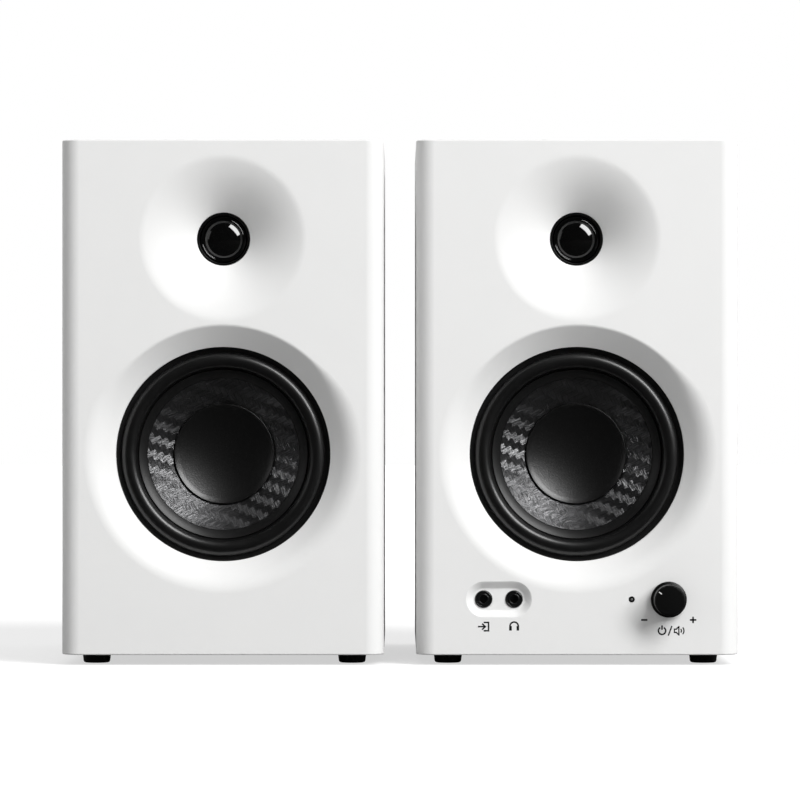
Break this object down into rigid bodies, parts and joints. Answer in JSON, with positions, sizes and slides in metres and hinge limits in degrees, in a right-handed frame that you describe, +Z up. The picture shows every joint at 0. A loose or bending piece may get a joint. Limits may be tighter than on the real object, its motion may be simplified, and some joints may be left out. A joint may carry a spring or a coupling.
{
  "type": "pair of desktop speakers",
  "caption": "Pair of compact white two-way desktop speakers with round waveguides; the right one is active, with sockets and a volume knob on its front.",
  "frame": {"origin": "on the floor, at the middle of the pair's footprint", "axes": "+X to the right seen from the front, +Y to the back, +Z up; the fronts face -Y"},
  "size_m": [0.294, 0.1976, 0.228],
  "materials": {
    "cabinet_wrap": "white vinyl wrap over fibreboard, faint grain, satin",
    "rear_wrap": "white vinyl wrap over fibreboard, faint grain, satin",
    "baffle_paint": "fine satin white paint on a moulded baffle",
    "foot_rubber": "matt black rubber",
    "black_plastic": "fine-textured black plastic",
    "knob_plastic": "smooth satin black plastic with a white pointer mark",
    "red_plastic": "satin red plastic",
    "basket_steel": "pressed steel with black powder coat",
    "surround_rubber": "soft black rubber with a dull sheen",
    "woven_cone": "black woven fibre in a twill, under clear resin",
    "dust_cap": "black, finely textured with a faint sparkle",
    "spider_cloth": "yellow-brown resin-stiffened cloth",
    "ferrite": "matt dark grey ferrite",
    "yoke_steel": "zinc-plated steel",
    "dome_silk": "coated black silk with a high gloss",
    "nickel_plate": "bright nickel plate",
    "circuit_board": "green circuit board with parts",
    "led_lens": "smoked clear lens, unlit"
  },
  "bodies": {
    "cabinets": {"passive_cabinet_sleeve": "cabinet_wrap", "passive_front_baffle": "baffle_paint", "passive_rear_panel": "rear_wrap", "passive_port_tube": "black_plastic", "passive_foot_front_left": "foot_rubber", "passive_foot_front_right": "foot_rubber", "passive_foot_rear_left": "foot_rubber", "passive_foot_rear_right": "foot_rubber", "passive_woofer_basket": "basket_steel", "passive_woofer_surround": "surround_rubber", "passive_woofer_spider": "spider_cloth", "passive_woofer_magnet": "ferrite", "passive_woofer_yoke": "yoke_steel", "passive_tweeter_plate": "black_plastic", "passive_tweeter_magnet": "yoke_steel", "passive_speaker_terminal": "black_plastic", "active_cabinet_sleeve": "cabinet_wrap", "active_front_baffle": "baffle_paint", "active_rear_panel": "rear_wrap", "active_port_tube": "black_plastic", "active_foot_front_left": "foot_rubber", "active_foot_front_right": "foot_rubber", "active_foot_rear_left": "foot_rubber", "active_foot_rear_right": "foot_rubber", "active_woofer_basket": "basket_steel", "active_woofer_surround": "surround_rubber", "active_woofer_spider": "spider_cloth", "active_woofer_magnet": "ferrite", "active_woofer_yoke": "yoke_steel", "active_tweeter_plate": "black_plastic", "active_tweeter_magnet": "yoke_steel", "active_speaker_terminal": "black_plastic", "passive_crossover_board": "circuit_board", "amplifier_board": "circuit_board", "power_supply_board": "circuit_board", "aux_jack": "black_plastic", "headphone_jack": "black_plastic", "trs_jack_left": "black_plastic", "trs_jack_right": "black_plastic", "power_inlet": "black_plastic", "power_switch_housing": "black_plastic", "control_plate": "black_plastic", "rca_jack_pair": "nickel_plate", "volume_encoder": "nickel_plate", "status_led": "led_lens"},
    "passive_woofer_diaphragm": {"passive_woofer_cone": "woven_cone", "passive_woofer_dust_cap": "dust_cap"},
    "passive_tweeter_diaphragm": {"passive_tweeter_dome": "dome_silk"},
    "passive_red_lever": {"passive_terminal_lever_red": "red_plastic"},
    "passive_black_lever": {"passive_terminal_lever_black": "black_plastic"},
    "active_woofer_diaphragm": {"active_woofer_cone": "woven_cone", "active_woofer_dust_cap": "dust_cap"},
    "active_tweeter_diaphragm": {"active_tweeter_dome": "dome_silk"},
    "active_red_lever": {"active_terminal_lever_red": "red_plastic"},
    "active_black_lever": {"active_terminal_lever_black": "black_plastic"},
    "volume_control": {"volume_shaft": "nickel_plate", "volume_knob": "knob_plastic"},
    "treble_control": {"treble_knob": "black_plastic"},
    "bass_control": {"bass_knob": "black_plastic"},
    "switch_rocker": {"power_switch_rocker": "black_plastic"}
  },
  "joints": [
    {"name": "passive_woofer_travel", "type": "slide", "parent": "cabinets", "child": "passive_woofer_diaphragm", "axis": [0, 1, 0], "range_m": [-0.003, 0.003], "stiffness_N_per_m": 1000, "deforming": ["passive_woofer_surround", "passive_woofer_spider"]},
    {"name": "passive_tweeter_travel", "type": "slide", "parent": "cabinets", "child": "passive_tweeter_diaphragm", "axis": [0, 1, 0], "range_m": [-0.0003, 0.0003], "stiffness_N_per_m": 3000},
    {"name": "passive_red_lever_press", "type": "hinge", "parent": "cabinets", "child": "passive_red_lever", "pos_m": [-0.069, 0.09095, 0.057], "axis": [1, 0, 0], "range_deg": [-22, 0], "stiffness_Nm_per_rad": 0.03},
    {"name": "passive_black_lever_press", "type": "hinge", "parent": "cabinets", "child": "passive_black_lever", "pos_m": [-0.085, 0.09095, 0.057], "axis": [1, 0, 0], "range_deg": [-22, 0], "stiffness_Nm_per_rad": 0.03},
    {"name": "active_woofer_travel", "type": "slide", "parent": "cabinets", "child": "active_woofer_diaphragm", "axis": [0, 1, 0], "range_m": [-0.003, 0.003], "stiffness_N_per_m": 1000, "deforming": ["active_woofer_surround", "active_woofer_spider"]},
    {"name": "active_tweeter_travel", "type": "slide", "parent": "cabinets", "child": "active_tweeter_diaphragm", "axis": [0, 1, 0], "range_m": [-0.0003, 0.0003], "stiffness_N_per_m": 3000},
    {"name": "active_red_lever_press", "type": "hinge", "parent": "cabinets", "child": "active_red_lever", "pos_m": [0.062, 0.09295, 0.055], "axis": [1, 0, 0], "range_deg": [-22, 0], "stiffness_Nm_per_rad": 0.03},
    {"name": "active_black_lever_press", "type": "hinge", "parent": "cabinets", "child": "active_black_lever", "pos_m": [0.046, 0.09295, 0.055], "axis": [1, 0, 0], "range_deg": [-22, 0], "stiffness_Nm_per_rad": 0.03},
    {"name": "volume_turn", "type": "hinge", "parent": "cabinets", "child": "volume_control", "pos_m": [0.1164, -0.09225, 0.0286], "axis": [0, 1, 0], "range_deg": [-98, 202]},
    {"name": "treble_turn", "type": "hinge", "parent": "cabinets", "child": "treble_control", "pos_m": [0.095, 0.09675, 0.128], "axis": [0, 1, 0], "range_deg": [-150, 150]},
    {"name": "bass_turn", "type": "hinge", "parent": "cabinets", "child": "bass_control", "pos_m": [0.059, 0.09675, 0.128], "axis": [0, 1, 0], "range_deg": [-150, 150]},
    {"name": "power_switch_rock", "type": "hinge", "parent": "cabinets", "child": "switch_rocker", "pos_m": [0.104, 0.08925, 0.0605], "axis": [1, 0, 0], "range_deg": [-20, 0]}
  ]
}
